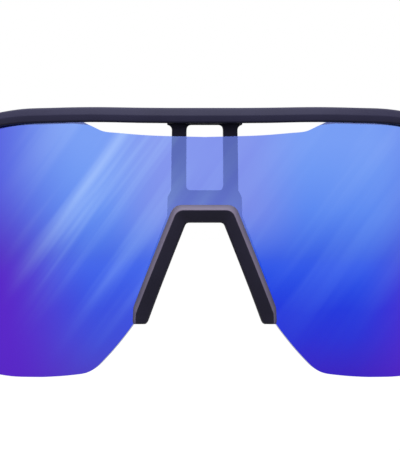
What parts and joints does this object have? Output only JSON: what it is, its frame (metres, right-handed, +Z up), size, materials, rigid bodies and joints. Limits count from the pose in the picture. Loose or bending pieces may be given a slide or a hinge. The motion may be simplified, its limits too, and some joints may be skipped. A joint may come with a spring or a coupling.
{
  "type": "wraparound sport sunglasses",
  "caption": "Shield-lens sport sunglasses: mirrored one-piece lens under a slim brow bar, rubber nose pad, and folding temples with rubber tips.",
  "frame": {"origin": "centre of the bounding box, on the surface that the opened glasses stand on (lens bottoms and temple tips)", "axes": "+X to the wearer's left, -Y the way the wearer looks, +Z up"},
  "size_m": [0.1388, 0.1586, 0.0593],
  "materials": {
    "frame_nylon": "fine matte navy-black moulding",
    "mirror_lens": "blue to violet mirror coating on smoked polycarbonate",
    "soft_rubber": "soft matte",
    "hinge_steel": "satin",
    "core_wire": "plain drawn wire"
  },
  "bodies": {
    "front": {"brow_frame": "frame_nylon", "shield_lens": "mirror_lens", "nose_pad": "soft_rubber", "nose_pad_wire": "core_wire", "left_frame_hinge_leaf": "hinge_steel", "left_hinge_screw": "hinge_steel", "left_lens_screw": "hinge_steel", "right_frame_hinge_leaf": "hinge_steel", "right_hinge_screw": "hinge_steel", "right_lens_screw": "hinge_steel"},
    "left_temple": {"left_temple_hinge_leaf": "hinge_steel", "left_temple_arm": "frame_nylon", "left_temple_grip": "soft_rubber", "left_tip_sleeve": "soft_rubber", "left_tip_wire": "core_wire"},
    "right_temple": {"right_temple_hinge_leaf": "hinge_steel", "right_temple_arm": "frame_nylon", "right_temple_grip": "soft_rubber", "right_tip_sleeve": "soft_rubber", "right_tip_wire": "core_wire"}
  },
  "joints": [
    {"name": "left_temple_fold", "type": "hinge", "parent": "front", "child": "left_temple", "pos_m": [0.065, -0.03282, 0.04539], "axis": [0, 0.2079, 0.9781], "range_deg": [0, 90]},
    {"name": "right_temple_fold", "type": "hinge", "parent": "front", "child": "right_temple", "pos_m": [-0.065, -0.03282, 0.04539], "axis": [0, -0.2079, -0.9781], "range_deg": [0, 83]}
  ]
}
